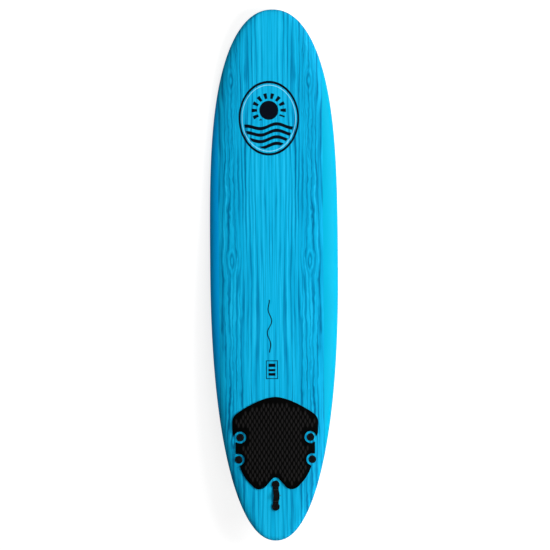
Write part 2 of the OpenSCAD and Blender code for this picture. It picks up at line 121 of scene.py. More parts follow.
def thickness(y):
    bulge = 1 - np.abs(2 * y / LENGTH - 1) ** THICKNESS_CURVE
    return END_THICKNESS + (THICKNESS - END_THICKNESS) * bulge


def apex_height(y):
    return bottom_height(y) + APEX_SHARE * thickness(y)


def deck_height(x, y):
    share = np.minimum(1, np.abs(x) / half_width(y))
    return apex_height(y) + (1 - APEX_SHARE) * thickness(y) * np.sqrt(1 - share**DECK_FULLNESS)


def hull_grid(edge, top, bottom):
    """Sections by steps of a surface that lies inside the board's own by these depths."""
    y0 = LENGTH / 2 * (1 - np.cos(math.pi * np.arange(STATIONS + 1) / STATIONS))[:, None]
    y = LENGTH / 2 + (y0 - LENGTH / 2) * (1 - 2 * edge / LENGTH)
    share = np.clip(np.minimum(y0, LENGTH - y0) / TIP_ROUND, 0, 1)
    opening = np.sqrt(1 - (1 - share) ** 2)
    w = half_width(y0) * (1 - 2 * edge / WIDTH)
    above = ((1 - APEX_SHARE) * thickness(y) - top) * opening
    below = (APEX_SHARE * thickness(y) - bottom) * opening
    step = np.arange(RING)[None, :]
    angle = math.pi * np.minimum(step, DECK_STEPS) / DECK_STEPS
    across = np.abs(np.cos(angle)) ** (2 / DECK_FULLNESS)
    to_right = step <= DECK_STEPS + TUCK_STEPS
    tuck = math.pi / 2 / TUCK_STEPS * np.where(to_right, step - DECK_STEPS, RING - step)
    on_deck = step <= DECK_STEPS
    deck_x = np.where(np.cos(angle) > 0, -1, 1) * w * across
    belly_x = np.where(to_right, 1, -1) * w * (FLAT_SHARE + (1 - FLAT_SHARE) * np.cos(tuck))
    x = np.where(on_deck, deck_x, belly_x)
    z = apex_height(y) + np.where(on_deck, above * np.sin(angle), -below * np.sin(tuck))
    return np.stack([x, np.broadcast_to(y, x.shape), z], axis=2)


def shell(name, outer, inner, keep):
    """Closed shell of the patches (i, j) that keep() takes, from a grid and its inner twin."""
    rows, columns = outer.shape[:2]
    n = rows * columns
    points = np.concatenate([outer.reshape(-1, 3), inner.reshape(-1, 3)])
    kept = {(i, j) for i in range(rows - 1) for j in range(columns) if keep(i, j)}
    faces = []
    for i, j in kept:
        a, b = i * columns + j, i * columns + (j + 1) % columns
        c, d = b + columns, a + columns
        faces += [(a, b, c, d), (n + d, n + c, n + b, n + a)]
        walls = [((i, (j - 1) % columns), d, a), ((i, (j + 1) % columns), b, c)]
        walls += [((i - 1, j), a, b), ((i + 1, j), c, d)]
        for beside, p, q in walls:
            if beside not in kept and 0 <= beside[0] < rows - 1:
                faces.append((q, p, n + p, n + q))
    return mesh_object(name, points, faces)


# ---- mesh helpers
def mesh_object(name, points, faces, smooth_below=35):
    """Object of this name from board-frame points, with its doubled points joined."""
    mesh = bpy.data.meshes.new(name)
    mesh.from_pydata([tuple(p) for p in to_row(points)], [], faces)
    work = bmesh.new()
    work.from_mesh(mesh)
    bmesh.ops.remove_doubles(work, verts=work.verts, dist=1e-6)
    bmesh.ops.delete(work, geom=[v for v in work.verts if not v.link_faces], context="VERTS")
    bmesh.ops.recalc_face_normals(work, faces=work.faces)
    work.to_mesh(mesh)
    work.free()
    obj = bpy.data.objects.new(name, mesh)
    scene.collection.objects.link(obj)
    shade(obj, smooth_below)
    return obj


def shade(obj, smooth_below=35):
    """Smooth shading, with sharp edges where the faces turn by more than this angle."""
    obj.data.polygons.foreach_set("use_smooth", [True] * len(obj.data.polygons))
    obj.data.set_sharp_from_angle(angle=math.radians(smooth_below))


def combine(obj, tool, operation, smooth_below=35):
    """Cuts tool out of obj, or joins it on, for good."""
    modifier = obj.modifiers.new("combine", "BOOLEAN")
    modifier.operation = operation
    modifier.solver = "EXACT"
    modifier.object = tool
    evaluated = obj.evaluated_get(bpy.context.evaluated_depsgraph_get())
    mesh = bpy.data.meshes.new_from_object(evaluated)
    obj.modifiers.clear()
    obj.data = mesh
    bpy.data.objects.remove(tool)
    shade(obj, smooth_below)


def lathe(name, profile, at, segments=96, smooth_below=35):
    """Solid turned about the board's up axis at a point, from (radius, height) pairs."""
    points, faces, rings = [], [], []
    for r, h in profile:
        turns = [0.0] if r == 0 else [2 * math.pi * k / segments for k in range(segments)]
        rings.append(range(len(points), len(points) + len(turns)))
        points += [(at[0] + r * math.cos(a), at[1] + r * math.sin(a), at[2] + h) for a in turns]
    for a, b in zip(rings, rings[1:]):
        for k in range(segments):
            face = [a[k % len(a)], a[(k + 1) % len(a)], b[(k + 1) % len(b)], b[k % len(b)]]
            faces.append(list(dict.fromkeys(face)))
    if profile[0][0] > 0:
        for k in range(segments):
            a, b = rings[-1], rings[0]
            faces.append((a[k], a[(k + 1) % segments], b[(k + 1) % segments], b[k]))
    return mesh_object(name, points, [f for f in faces if len(f) > 2], smooth_below)


def wall_faces(rings, count):
    """Faces between closed rings of points, each ring with this many."""
    faces = []
    for i in range(rings - 1):
        for k in range(count):
            a, b = i * count + k, i * count + (k + 1) % count
            faces.append((a, b, b + count, a + count))
    return faces


def solid_faces(rings, count):
    """Faces between closed rings of points, and over the first and the last ring."""
    last = (rings - 1) * count
    return wall_faces(rings, count) + [tuple(range(count)), tuple(range(last, last + count))]


def tube(name, path, radius, sides):
    """Closed tube along board-frame points."""
    path = np.asarray(path, float)
    ahead = np.gradient(path, axis=0)
    ahead /= np.linalg.norm(ahead, axis=1)[:, None]
    points = []
    for p, t in zip(path, ahead):
        side = np.cross(t, (0.13, 0.21, 0.97))
        side /= np.linalg.norm(side)
        up = np.cross(side, t)
        for k in range(sides):
            a = 2 * math.pi * k / sides
            points.append(p + radius * (math.cos(a) * side + math.sin(a) * up))
    return mesh_object(name, points, solid_faces(len(path), sides), 60)


# ---- node trees
def linear(r, g, b):
    """Linear colour from 8-bit sRGB."""
    def channel(v):
        v /= 255
        return v / 12.92 if v <= 0.04045 else ((v + 0.055) / 1.055) ** 2.4

    return (channel(r), channel(g), channel(b), 1)


class Value:
    """Number in a node tree, with arithmetic."""

    def __init__(self, shader, socket):
        self.shader, self.socket = shader, socket

    def __add__(self, other):
        return self.shader.math("ADD", self, other)

    def __sub__(self, other):
        return self.shader.math("SUBTRACT", self, other)

    def __rsub__(self, other):
        return self.shader.math("SUBTRACT", other, self)

    def __mul__(self, other):
        return self.shader.math("MULTIPLY", self, other)

    def __truediv__(self, other):
        return self.shader.math("DIVIDE", self, other)

    def __abs__(self):
        return self.shader.math("ABSOLUTE", self)

    __radd__, __rmul__ = __add__, __mul__


class Shader:
    """Material of one Principled BSDF, with short calls that take numbers or Values."""

    def __init__(self, name, roughness=0.5, specular=0.5):
        self.material = bpy.data.materials.new(name)
        self.material.use_nodes = True
        self.tree = self.material.node_tree
        self.bsdf = self.tree.nodes["Principled BSDF"]
        self.put(self.bsdf.inputs["Roughness"], roughness)
        self.put(self.bsdf.inputs["Specular IOR Level"], specular)
        self.place = self.node("TexCoord").outputs["Object"]

    def node(self, kind):
        return self.tree.nodes.new("ShaderNode" + kind)

    def put(self, socket, value):
        if isinstance(value, Value):
            value = value.socket
        if isinstance(value, bpy.types.NodeSocket):
            self.tree.links.new(value, socket)
        else:
            socket.default_value = value

    def math(self, operation, a, b=0.0):
        node = self.node("Math")
        node.operation = operation
        for socket, value in zip(node.inputs, (a, b)):
            self.put(socket, value)
        return Value(self, node.outputs[0])

    def along(self, axis):
        """Board-frame coordinate along an axis, in millimetres."""
        node = self.node("VectorMath")
        node.operation = "DOT_PRODUCT"
        self.put(node.inputs[0], self.place)
        node.inputs[1].default_value = axis
        return (Value(self, node.outputs["Value"]) - ORIGIN.dot(axis)) * 1000

    def board(self):
        return self.along(RIGHT), self.along(FORWARD), self.along(UP)

    def vector(self, x, y, z=0.0):
        node = self.node("CombineXYZ")
        for socket, value in zip(node.inputs, (x, y, z)):
            self.put(socket, value)
        return node.outputs[0]

    def noise(self, vector, detail=2.0, roughness=0.5, scale=1.0):
        """Noise about 0, mostly within 0.5 either way."""
        node = self.node("TexNoise")
        self.put(node.inputs["Vector"], vector)
        node.inputs["Scale"].default_value = scale
        node.inputs["Detail"].default_value = detail
        node.inputs["Roughness"].default_value = roughness
        return (Value(self, node.outputs[0]) - 0.5) * 1.6

    def attribute(self, name):
        node = self.node("Attribute")
        node.attribute_name = name
        return Value(self, node.outputs["Fac"])

    def cells(self, vector, feature="F1", scale=1.0):
        node = self.node("TexVoronoi")
        node.feature = feature
        self.put(node.inputs["Vector"], vector)
        node.inputs["Scale"].default_value = scale
        return Value(self, node.outputs["Distance"])

    def above(self, value, edge, soft=0.6):
        """0 below an edge, 1 above it, with a soft change."""
        node = self.node("MapRange")
        node.interpolation_type = "SMOOTHSTEP"
        self.put(node.inputs["Value"], value)
        node.inputs["From Min"].default_value = edge - soft
        node.inputs["From Max"].default_value = edge + soft
        return Value(self, node.outputs[0])

    def within(self, value, low, high, soft=0.6):
        return self.above(value, low, soft) * (1 - self.above(value, high, soft))

    def bell(self, *pairs):
        """1 where every value is 0, falling off over its own reach."""
        total = 0.0
        for value, reach in pairs:
            share = value / reach
            total = total + share * share
        return self.math("EXPONENT", total * -1)

    def ramp(self, value, *stops):
        """Colour ramp from (position, 8-bit sRGB) stops."""
        node = self.node("ValToRGB")
        self.put(node.inputs[0], value)
        elements = node.color_ramp.elements
        while len(elements) < len(stops):
            elements.new(1)
        for element, (position, colour) in zip(elements, stops):
            element.position = position
            element.color = linear(*colour)
        return node.outputs[0]

    def mix(self, share, a, b):
        node = self.node("Mix")
        node.data_type = "RGBA"
        self.put(node.inputs[0], share)
        self.put(node.inputs[6], a)
        self.put(node.inputs[7], b)
        return node.outputs[2]

    def colour(self, value):
        self.put(self.bsdf.inputs["Base Color"], value)

    def rough(self, value):
        self.put(self.bsdf.inputs["Roughness"], value)

    def bump(self, height, distance):
        """Relief of this height, times a distance in millimetres."""
        node = self.node("Bump")
        self.put(node.inputs["Height"], height)
        node.inputs["Distance"].default_value = distance / 1000
        node.inputs["Strength"].default_value = 1
        self.put(self.bsdf.inputs["Normal"], node.outputs[0])


# ---- materials
INK = linear(6, 12, 24)
PRINT_AXIS = -13
PRINT_HALF = 225
STREAK_PITCH = 20.5
KNOT_ACROSS = 168
KNOTS_ALONG = (430, 1206, 1981)


def wood_grain(s, x, y):
    """Value of the printed grain: streaks along the board, mirrored, that flow round knots."""
    across = abs(x - PRINT_AXIS)
    column = s.bell((across - KNOT_ACROSS, 42))
    drift = s.noise(s.vector(across / 90, y / 420), 2) * 9
    ripple = s.noise(s.vector(across / 26, y / 90, 3.1), 2) * (column * 11 + 2.5)
    braid = s.noise(s.vector(across / 11, y / 46, 4.4), 1) * column * 6
    u = across + drift + ripple + braid
    knots = 0.0
    rings = 0.0
    for along in KNOTS_ALONG:
        dx, dy = across - KNOT_ACROSS + ripple * 0.35 + braid * 0.8, y - along
        u = u - dx * s.bell((dx, 24), (dy, 70)) * 0.85
        r = s.math("SQRT", (dx / 9) * (dx / 9) + (dy / 34) * (dy / 34))
        near = s.bell((dx, 15), (dy, 50))
        knots = knots + near
        rings = rings + near * s.math("SINE", r * 5.2 + 0.6)
    phase = u / STREAK_PITCH + s.noise(s.vector(across / 44, y / 700, 7.7), 1) * 1.5
    wave = 0.5 + s.math("COSINE", phase * (2 * math.pi)) * 0.5
    lines = s.math("POWER", wave, 2.0)
    strength = 0.75 + s.noise(s.vector(across / 20, y / 240, 9.2), 1) * 1.3
    streaks = s.noise(s.vector(u / 5.6, y / 620, 1.9), 2, 0.6)
    threads = s.noise(s.vector(u / 3.4, y / 260, 5.3), 2, 0.6)
    heart = s.bell((across, 46))
    side = s.above(across, 80, 60)
    grain = lines * strength * -0.46 + streaks * 0.66 + threads * 0.62
    tone = 0.86 - side * 0.14 + grain * (1 - knots * 0.3) * (1 - heart * 0.3)
    return tone + rings * 0.26 - knots * 0.14


BADGE_MIDDLE = (-18, 1820)
BADGE_HALF = (130.5, 160.5)
# Inner edge of the ring, pale line, and edge of the picture, as half widths of their ovals.
BADGE_RING = 122
BADGE_LINE = (114.5, 116.5)
BADGE_PICTURE = 109
SUN_RISE = 34
SUN_RADIUS = 41
SUN_RAYS = 14
RAY_ENDS = (50, 74)
WAVES = 4
WAVE_PITCH = 28
WAVE_BAND = (-20.5, -6)
SEA_DROP = 24
PINSTRIPE = (811, 1038)
PINSTRIPE_MIDDLE = (-22, 924)
PINSTRIPE_REACH = 114
STRIPE_HALF_WIDTH = 2.4
PANEL_MIDDLE = (-12.5, 737)
PANEL_HALF = (26, 40)
PANEL_LINE = 3.5
BAR_HALF_WIDTH = 15
BARS = ((12, 26), (-7, 3), (-26, -14))


def badge(s, x, y):
    """Ink of the deck's emblem, a sun over waves in an oval, and its pale inner line."""
    dx, dy = x - BADGE_MIDDLE[0], y - BADGE_MIDDLE[1]
    across, along = dx / BADGE_HALF[0], dy / BADGE_HALF[1]
    q = s.math("SQRT", across * across + along * along) * BADGE_HALF[0]
    ring = s.within(q, BADGE_RING, BADGE_HALF[0])
    picture = 1 - s.above(q, BADGE_PICTURE)
    rise = dy - SUN_RISE
    sun_r = s.math("SQRT", dx * dx + rise * rise)
    sun = 1 - s.above(sun_r, SUN_RADIUS)
    turn = s.math("ARCTAN2", rise, dx) * (SUN_RAYS / (2 * math.pi))
    ray = s.math("ABSOLUTE", s.math("FRACT", turn + 20) - 0.5)
    rays = s.above(ray, 0.26, 0.02) * s.within(sun_r, *RAY_ENDS)
    swell = s.math("SINE", dx / 21) * 8 + s.math("SINE", dx / 55 + 0.8) * 5
    sea = dy + SEA_DROP - swell
    ink = sun + rays * s.above(sea, 22, 1)
    for k in range(WAVES):
        ink = ink + s.within(sea, *(edge - WAVE_PITCH * k for edge in WAVE_BAND))
    return ring + ink * picture, s.within(q, *BADGE_LINE)


def marks(s, x, y):
    """Ink of the small marks: a plain pinstripe and a plain panel with bars."""
    along = (y - PINSTRIPE_MIDDLE[1]) / PINSTRIPE_REACH
    taper = s.math("MAXIMUM", 1 - along * along, 0.0)
    sway = s.math("SINE", (y - PINSTRIPE[0]) / 17.5) * 10 * taper
    stripe = s.within(x - PINSTRIPE_MIDDLE[0] - sway, -STRIPE_HALF_WIDTH, STRIPE_HALF_WIDTH)
    stripe = stripe * s.within(y, *PINSTRIPE)
    dx, dy = abs(x - PANEL_MIDDLE[0]), y - PANEL_MIDDLE[1]
    outer = (1 - s.above(dx, PANEL_HALF[0])) * (1 - s.above(abs(dy), PANEL_HALF[1]))
    inner = (1 - s.above(dx, PANEL_HALF[0] - PANEL_LINE)) * (1 - s.above(abs(dy), PANEL_HALF[1] - PANEL_LINE))
    bars = (1 - s.above(dx, BAR_HALF_WIDTH)) * sum(s.within(dy, *bar) for bar in BARS)
    return stripe + outer * (1 - inner) + bars


def deck_material():
    s = Shader("printed_deck_foam", specular=0.035)
    x, y, z = s.board()
    grain = wood_grain(s, x, y)
    wood = s.ramp(
        grain,
        (0.12, (0, 104, 149)),
        (0.34, (1, 132, 181)),
        (0.55, (6, 156, 206)),
        (0.76, (9, 179, 227)),
        (1.0, (30, 195, 242)),
    )
    plain = s.above(abs(x - PRINT_AXIS), PRINT_HALF)
    cloud = s.noise(s.vector(x / 90, y / 240, z / 60), 2)
    # Rail colour in two copies by side: a bluer painted cool shade on the left rail and a less blue painted
    # lit tone on the right rail, blended across the middle.
    left_rail_painted_shade = s.ramp(0.5 + cloud * 0.5, (0.2, (0, 168, 243)), (0.8, (0, 177, 251)))
    right_rail_painted_light = s.ramp(0.5 + cloud * 0.5, (0.2, (0, 169, 208)), (0.8, (0, 178, 216)))
    rail = s.mix(s.above(x, 0, 40), left_rail_painted_shade, right_rail_painted_light)
    base = s.mix(plain, wood, rail)
    top = s.above(z - bottom_line(s, y), 30, 4)
    ink, pale = badge(s, x, y)
    base = s.mix(pale * top, base, linear(150, 226, 250))
    base = s.mix((ink + marks(s, x, y)) * top, base, INK)
    s.colour(base)
    pebble = s.noise(s.place, 3, 0.55, 900)
    scuffs = s.noise(s.vector(x / 34, y / 80, z / 30), 4, 0.7)
    s.rough(0.5 + scuffs * 0.1 + pebble * 0.05)
    s.bump(pebble + scuffs * 0.4, 0.09)
    return s.material


def bottom_line(s, y):
    """Height of the bottom along the centre line, as the shader knows it."""
    nose = s.math("MAXIMUM", (y - FLAT_FRONT) / (LENGTH - FLAT_FRONT), 0.0)
    tail = s.math("MAXIMUM", (FLAT_BACK - y) / FLAT_BACK, 0.0)
    return s.math("POWER", nose, NOSE_CURVE) * NOSE_ROCKER + s.math("POWER", tail, TAIL_CURVE) * TAIL_ROCKER


def slick_material():
    s = Shader("slick_sheet", specular=0.5)
    x, y, z = s.board()
    cloud = s.noise(s.vector(x / 120, y / 200, z / 60), 4, 0.6)
    s.colour(s.ramp(0.5 + cloud * 0.6, (0.25, (222, 226, 226)), (0.75, (238, 240, 239))))
    rub = s.noise(s.vector(x / 6, y / 180, 2.0), 3, 0.65)
    s.rough(0.3 + rub * 0.12)
    orange_peel = s.noise(s.place, 2, 0.5, 260)
    s.bump(orange_peel + rub * 0.3, 0.05)
    return s.material


def eva_material():
    s = Shader("pad_foam", specular=0.025)
    x, y, z = s.board()
    cloud = s.noise(s.vector(x / 30, y / 30, z / 30), 3, 0.6)
    crest = s.attribute("crest")
    # Lens tops are painted lighter with their height: a painted highlight on the crests.
    tone = 0.15 + cloud * 0.12 + s.math("POWER", crest, 1.2) * 0.7
    s.colour(s.ramp(tone, (0.05, (1, 1, 1)), (0.3, (5, 5, 5)), (0.9, (33, 32, 32))))
    skin = s.noise(s.place, 4, 0.65, 1400)
    s.rough(0.62 + cloud * 0.1 + skin * 0.08)
    s.bump(skin, 0.14)
    return s.material


def webbing_material():
    s = Shader("webbing", roughness=0.8, specular=0.06)
    x, y, _ = s.board()
    rib = s.math("SINE", x * (2 * math.pi / 1.9))
    turn = s.math("SINE", y * (2 * math.pi / 1.5) + abs(x) * 2.1)
    fuzz = s.noise(s.place, 3, 0.6, 2600)
    height = rib * 0.35 + turn * 0.5 + fuzz * 0.5
    # The colour follows the weave's relief: darker in its hollows as painted shade, lighter on the raised
    # threads as a painted highlight.
    s.colour(s.ramp(0.5 + height * 0.35, (0.15, (5, 5, 6)), (0.85, (21, 20, 20))))
    s.bump(height, 0.22)
    return s.material


def thread_material():
    s = Shader("thread", roughness=0.7, specular=0.4)
    ply = s.noise(s.place, 2, 0.5, 3000)
    # The colour follows the same relief as the bump: painted shade where the ply lies low, lighter where it
    # stands up.
    s.colour(s.ramp(0.5 + ply * 0.6, (0.2, (18, 18, 20)), (0.8, (52, 52, 55))))
    s.bump(ply, 0.1)
    return s.material


def moulded_material(name, dark, light, roughness, grain_mm, scratches, specular):
    """Moulded plastic: fine grain, a little unevenness and faint scuffs."""
    s = Shader(name, specular=specular)
    x, y, z = s.board()
    cloud = s.noise(s.vector(x / 18, y / 26, z / 18), 3, 0.6)
    s.colour(s.ramp(0.5 + cloud * 0.7, (0.2, dark), (0.8, light)))
    grain = s.noise(s.place, 2, 0.5, 1000 / grain_mm)
    scuff = s.noise(s.vector(x / 2.5, y / 22, z / 9), 4, 0.7)
    s.rough(roughness + cloud * 0.05 + scuff * scratches)
    s.bump(grain + scuff * 0.3, 0.05)
    return s.material


def bead_material():
    s = Shader("bead_foam", roughness=0.85, specular=0.3)
    beads = s.cells(s.place, scale=260)
    edges = s.cells(s.place, "DISTANCE_TO_EDGE", 260)
    s.colour(s.ramp(edges * 6, (0.0, (206, 207, 204)), (0.35, (243, 243, 240))))
    s.bump(beads * -1, 0.8)
    return s.material


STRINGER_X = 85


def plywood_material():
    s = Shader("plywood", roughness=0.6, specular=0.3)
    x, y, z = s.board()
    wander = s.noise(s.vector(x / 40, y / 300, z / 40), 2) * 6
    growth = s.noise(s.vector(x / 3 + wander, y / 400, z / 2.2 + wander), 3, 0.6)
    ply = s.within(abs(abs(x) - STRINGER_X), -1, 0.5, 0.1)
    tone = 0.5 + growth * 0.7 - ply * 0.08
    s.colour(s.ramp(tone, (0.15, (142, 98, 58)), (0.85, (214, 176, 124))))
    pores = s.noise(s.vector(x / 0.8, y / 26, z / 0.8), 2)
    s.bump(growth * 0.4 + pores, 0.12)
    return s.material


materials = {
    "deck_foam": deck_material(),
    "slick_plastic": slick_material(),
    "pad_foam": eva_material(),
    "webbing": webbing_material(),
    "thread": thread_material(),
    "eps_foam": bead_material(),
    "plywood": plywood_material(),
}
# Dark and light colour, roughness, grain in millimetres, scratches and specular level.
MOULDED = {
    "sleeve_plastic": ((178, 180, 182), (200, 202, 203), 0.45, 0.4, 0.05, 0.3),
    "fin_plastic": ((17, 17, 18), (30, 30, 31), 0.42, 0.5, 0.12, 0.3),
    "washer_plastic": ((4, 5, 8), (10, 12, 16), 0.4, 0.35, 0.05, 0.14),
    "screw_plastic": ((4, 4, 6), (11, 11, 13), 0.36, 0.3, 0.05, 0.14),
}
materials |= {name: moulded_material(name, *look) for name, look in MOULDED.items()}


def finish_piece(obj, slot, body, *nodes):
    """Material, slot and body of a new piece, and the CAD nodes that it stands for."""
    obj.data.materials.clear()
    obj.data.materials.append(materials[slot])
    if nodes:
        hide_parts(*nodes)
    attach(obj, body)
    return obj


# ---- fin bolts
# Middle of each fin's base, its toe-in and its lean, in degrees.
FIN_PLACES = {
    "left": (-155, 398, -4.3, -5),
    "center": (0, 195, 0, 0),
    "right": (155, 398, 4.3, 5),
}
ENDS = {"front": 1, "rear": -1}
POST_REACH = 48
WASHER_RADIUS = 16.5
WASHER_HEIGHT = 4.4
WASHER_FLOOR = 1.8
HEAD_GAP = 0.2
SPOT_RADIUS = WASHER_RADIUS + 0.8
SHANK_HOLE = 4.3
SLEEVE_HOLE = 9.3
COLLAR_HOLE = 13.3
COLLAR_DEPTH = 2.6
STRAP_THICKNESS = 2
# Ends of the cutting tools, and how far they stand past the surface that they cut.
CUT_FROM = -100
CUT_TO = 200
CUT_PAST = 50


def post_at(side, end):
    """Middle of a fin's front (1) or rear (-1) post."""
    x, y, toe, _ = FIN_PLACES[side]
    toe = math.radians(toe)
    return x - end * POST_REACH * math.sin(toe), y + end * POST_REACH * math.cos(toe)


def footprint(x, y):
    """Heights of the deck round a washer's spot face."""
    turns = [math.radians(a) for a in range(0, 360, 30)]
    return [
        float(deck_height(x + SPOT_RADIUS * math.cos(a), y + SPOT_RADIUS * math.sin(a)))
        for a in turns
    ]


def spot_face_z(x, y):
    return min(footprint(x, y)) - FREE_GAP


def strap_z(x, y):
    return max(footprint(x, y)) + FREE_GAP


def washer_z(side, end):
    x, y = post_at(side, end)
    if side == "center":
        return strap_z(x, y) + STRAP_THICKNESS + FREE_GAP
    return spot_face_z(x, y) + FREE_GAP


BOLTS = [(side, end, ENDS[end], post_at(side, ENDS[end])) for side in FIN_PLACES for end in ENDS]


# ---- deck, bottom
def in_seam(i, j):
    return SEAM_STATION <= i < STATIONS - SEAM_STATION and SEAM_FIRST <= j < SEAM_LAST


def bolt_holes():
    """All the bolt holes as one tool: sleeve hole, collar recess and spot face."""
    tools = []
    for side, end, _, (x, y) in BOLTS:
        seat = spot_face_z(x, y)
        collar = seat - COLLAR_DEPTH
        top = seat + CUT_PAST
        profile = [(0, CUT_FROM), (SLEEVE_HOLE, CUT_FROM), (SLEEVE_HOLE, collar), (COLLAR_HOLE, collar)]
        profile += [(COLLAR_HOLE, seat), (SPOT_RADIUS, seat), (SPOT_RADIUS, top), (0, top)]
        tools.append(lathe(f"hole_{side}_{end}", profile, (x, y, 0), 72))
    bpy.ops.object.select_all(action="DESELECT")
    for tool in tools:
        tool.select_set(True)
    bpy.context.view_layer.objects.active = tools[0]
    bpy.ops.object.join()
    return tools[0]


def make_deck():
    inner = hull_grid(*SKIN_DEPTH)
    deck = shell("deck", hull_grid(*OUTER_DEPTH), inner, lambda i, j: not in_seam(i, j))
    combine(deck, bolt_holes(), "DIFFERENCE", 40)
    return finish_piece(deck, "deck_foam", "board", "deck_skin")


def make_bottom():
    columns = slice(SEAM_FIRST, SEAM_LAST + 1)
    grids = []
    for depth in (OUTER_DEPTH, SKIN_DEPTH):
        grid = hull_grid(*depth)[SEAM_STATION : STATIONS - SEAM_STATION + 1, columns].copy()
        grid[..., 0] *= 1 - BOND_GAP / half_width(grid[..., 1])
        grid[0, :, 1] += BOND_GAP
        grid[-1, :, 1] -= BOND_GAP
        grids.append(grid)
    last = grids[0].shape[1] - 1
    bottom = shell("bottom", *grids, lambda i, j: j < last)
    combine(bottom, bolt_holes(), "DIFFERENCE", 40)
    return finish_piece(bottom, "slick_plastic", "board", "bottom_skin")


# ---- traction pad
PAD_LIFT = 0.4
PAD_THICKNESS = 5
PAD_FRONT = 620
PAD_HALF_WIDTH = 186
PAD_SHOULDER = 509
PAD_WAIST = 171
PAD_CURVE = 1.625
SHOULDER_RADIUS = 49
LIP = (152, 314)
SIDE_END = (PAD_HALF_WIDTH - 2, 463)
WAIST = (433, 368)
LOBE_BULGE = 5.6
LOBE_MIDDLE = (70, 260)
LOBE_RADIUS = 38
CROTCH_MIDDLE = (0, 257)
CROTCH_RADIUS = 17
NOTCH_RADIUS = 26
PAD_EDGE = [(0, 0), (0, 3.6), (0.3, 4.4), (0.8, 4.85), (1.5, PAD_THICKNESS)]
OUTLINE_STEP = 1.6
SMOOTHING_PASSES = 12
# Spacing of the plain points between the lenses, and their distances from edge and lens.
PAD_GRID = 12.0
GRID_FROM_EDGE = 6
GRID_FROM_LENS = 3
# Raised lenses: half sizes, height, pitch of a staggered pattern, width of the plain border,
# and their profile as shares of the half size and of the height.
LENS = (5.7, 13.8)
LENS_HEIGHT = 1.3
LENS_PITCH = (19.8, 33.3)
LENS_BORDER = 8
LENS_ROWS = 24
LENS_COLUMNS = 10
LENS_STEPS = 20
FIRST_LENS_Y = 232
LENS_PROFILE = ((1.12, 0), (1, 0.06), (0.93, 0.32), (0.78, 0.66), (0.5, 0.9), (0.25, 0.98))


def arc(middle, radius, first, last, step=3):
    turns = np.radians(np.arange(first, last, math.copysign(step, last - first)))
    return [(middle[0] + radius * math.cos(a), middle[1] + radius * math.sin(a)) for a in turns]


def resample(loop, spacing):
    """Closed loop with its points evenly spaced."""
    closed = np.vstack([loop, loop[:1]])
    steps = np.linalg.norm(np.diff(closed, axis=0), axis=1)
    reach = np.concatenate([[0], np.cumsum(steps)])
    at = np.linspace(0, reach[-1], int(reach[-1] / spacing), endpoint=False)
    return np.column_stack([np.interp(at, reach, closed[:, k]) for k in (0, 1)])


def inside(points, loop):
    """Which points lie inside a closed loop."""
    points, a = np.atleast_2d(points), np.asarray(loop)
    b = np.roll(a, -1, axis=0)
    px, py = points[:, :1], points[:, 1:]
    spans = (a[:, 1] > py) != (b[:, 1] > py)
    rise = np.where(b[:, 1] == a[:, 1], 1e-12, b[:, 1] - a[:, 1])
    crossing = px < (b[:, 0] - a[:, 0]) * (py - a[:, 1]) / rise + a[:, 0]
    return (spans & crossing).sum(axis=1) % 2 == 1


def notch(loop, middle, radius):
    """Loop with a round notch cut in from its edge."""
    middle = np.array(middle)
    within = np.linalg.norm(loop - middle, axis=1) < radius
    first = int(np.flatnonzero(~within & np.roll(within, -1))[0])
    loop, within = np.roll(loop, -first, axis=0), np.roll(within, -first)
    stop = int(np.flatnonzero(~within & np.roll(within, 1))[-1])
    start_turn = math.atan2(*(loop[0] - middle)[::-1])
    end_turn = math.atan2(*(loop[stop] - middle)[::-1])
    for sweep in (1, -1):
        span = (end_turn - start_turn) * sweep % (2 * math.pi)
        turns = start_turn + sweep * np.linspace(0, span, int(radius * span / 1.5))
        cut = middle + radius * np.column_stack([np.cos(turns), np.sin(turns)])
        if inside(cut[len(cut) // 2], loop)[0]:
            break
    return np.vstack([cut, loop[stop:]])


def bulged(a, b, bulge):
    """Line from a to b that bulges to its left."""
    a, b = np.array(a), np.array(b)
    out = np.array((a[1] - b[1], b[0] - a[0])) / np.linalg.norm(b - a)
    t = np.linspace(0, 1, 20, endpoint=False)[:, None]
    return [tuple(p) for p in a * (1 - t) + b * t + out * bulge * 4 * t * (1 - t)]


def pad_outline():
    """Smooth closed outline of the pad, with its four notches."""
    shoulder = arc((PAD_HALF_WIDTH - SHOULDER_RADIUS, PAD_SHOULDER), SHOULDER_RADIUS, 55, 0)
    x_end, y_end = shoulder[0]
    x = np.linspace(0, x_end, 60, endpoint=False)
    half = list(zip(x, PAD_FRONT - (PAD_FRONT - y_end) * (x / x_end) ** PAD_CURVE))
    half += shoulder
    half += [(PAD_HALF_WIDTH, PAD_SHOULDER), SIDE_END]
    half += [(PAD_WAIST, y) for y in WAIST]
    lobe = arc(LOBE_MIDDLE, LOBE_RADIUS, -35, -134)
    half += bulged(LIP, lobe[0], LOBE_BULGE)
    half += lobe
    half += arc(CROTCH_MIDDLE, CROTCH_RADIUS, 40, 90)
    half = np.array(half)
    loop = resample(np.vstack([half, half[:0:-1] * (-1, 1)]), 1.2)
    for side in ("left", "right"):
        for end in ENDS.values():
            loop = notch(loop, post_at(side, end), NOTCH_RADIUS)
    loop = resample(loop, OUTLINE_STEP)
    for _ in range(SMOOTHING_PASSES):
        loop = (np.roll(loop, 1, axis=0) + 2 * loop + np.roll(loop, -1, axis=0)) / 4
    return resample(loop, OUTLINE_STEP)


def inset(loop, distance):
    """Loop moved inwards by a distance."""
    ahead = np.roll(loop, -1, axis=0) - np.roll(loop, 1, axis=0)
    ahead /= np.linalg.norm(ahead, axis=1)[:, None]
    normal = np.column_stack([ahead[:, 1], -ahead[:, 0]])
    sign = 1 if inside(loop[0] + normal[0], loop)[0] else -1
    return loop + sign * distance * normal


